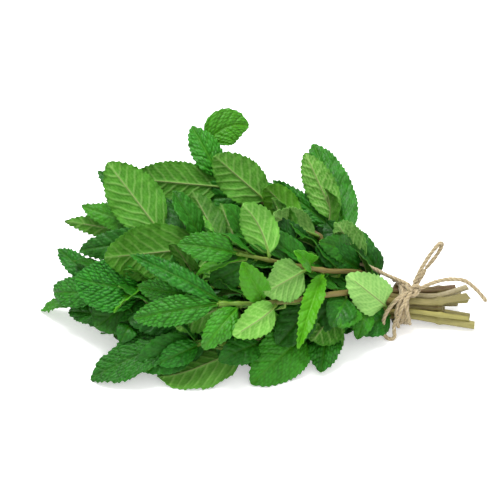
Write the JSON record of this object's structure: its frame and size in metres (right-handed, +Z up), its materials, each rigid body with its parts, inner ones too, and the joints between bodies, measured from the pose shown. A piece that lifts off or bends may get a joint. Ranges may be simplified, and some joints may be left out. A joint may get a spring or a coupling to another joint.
{
  "type": "tied bunch of fresh mint",
  "caption": "A bunch of fresh mint lying on its side: leafy stems with toothed, veined leaves, tied near their cut ends with a bow of jute twine.",
  "frame": {"origin": "bottom centre of the bounding box of the leaves, stems and wraps, on the surface the bunch lies on", "axes": "+X along the bunch from the leaves to the cut ends, +Z up, -Y toward the front"},
  "size_m": [0.2211, 0.1332, 0.0769],
  "materials": {
    "mint_leaf": "soft satin, deep green above and paler below",
    "mint_stem": "smooth, olive to purple-brown",
    "jute_twine": "rough natural fibre"
  },
  "bodies": {
    "root": {"leaf_a1": "mint_leaf", "leaf_a2": "mint_leaf", "leaf_a3": "mint_leaf", "leaf_a4": "mint_leaf", "leaf_a5": "mint_leaf", "leaf_b1": "mint_leaf", "leaf_b2": "mint_leaf", "leaf_b3": "mint_leaf", "leaf_b4": "mint_leaf", "leaf_b5": "mint_leaf", "leaf_b6": "mint_leaf", "leaf_c1": "mint_leaf", "leaf_c2": "mint_leaf", "leaf_c3": "mint_leaf", "leaf_c4": "mint_leaf", "leaf_d1": "mint_leaf", "leaf_d2": "mint_leaf", "leaf_d3": "mint_leaf", "leaf_d4": "mint_leaf", "leaf_d5": "mint_leaf", "leaf_e1": "mint_leaf", "leaf_e2": "mint_leaf", "leaf_e3": "mint_leaf", "leaf_e4": "mint_leaf", "leaf_f1": "mint_leaf", "leaf_f2": "mint_leaf", "leaf_f3": "mint_leaf", "leaf_f4": "mint_leaf", "leaf_f5": "mint_leaf", "leaf_g1": "mint_leaf", "leaf_g2": "mint_leaf", "leaf_g3": "mint_leaf", "leaf_g4": "mint_leaf", "leaf_g5": "mint_leaf", "leaf_h1": "mint_leaf", "leaf_h2": "mint_leaf", "leaf_h3": "mint_leaf", "leaf_h4": "mint_leaf", "leaf_i1": "mint_leaf", "leaf_j1": "mint_leaf", "leaf_j2": "mint_leaf", "leaf_j3": "mint_leaf", "leaf_j4": "mint_leaf", "leaf_j5": "mint_leaf", "leaf_j6": "mint_leaf", "stem_a": "mint_stem", "stem_b": "mint_stem", "stem_c": "mint_stem", "stem_d": "mint_stem", "stem_e": "mint_stem", "stem_f": "mint_stem", "stem_g": "mint_stem", "stem_h": "mint_stem", "stem_i": "mint_stem", "stem_j": "mint_stem", "twine_ear_low": "jute_twine", "twine_ear_up": "jute_twine", "twine_tail_left": "jute_twine", "twine_tail_right": "jute_twine", "twine_wrap": "jute_twine"}
  },
  "joints": []
}
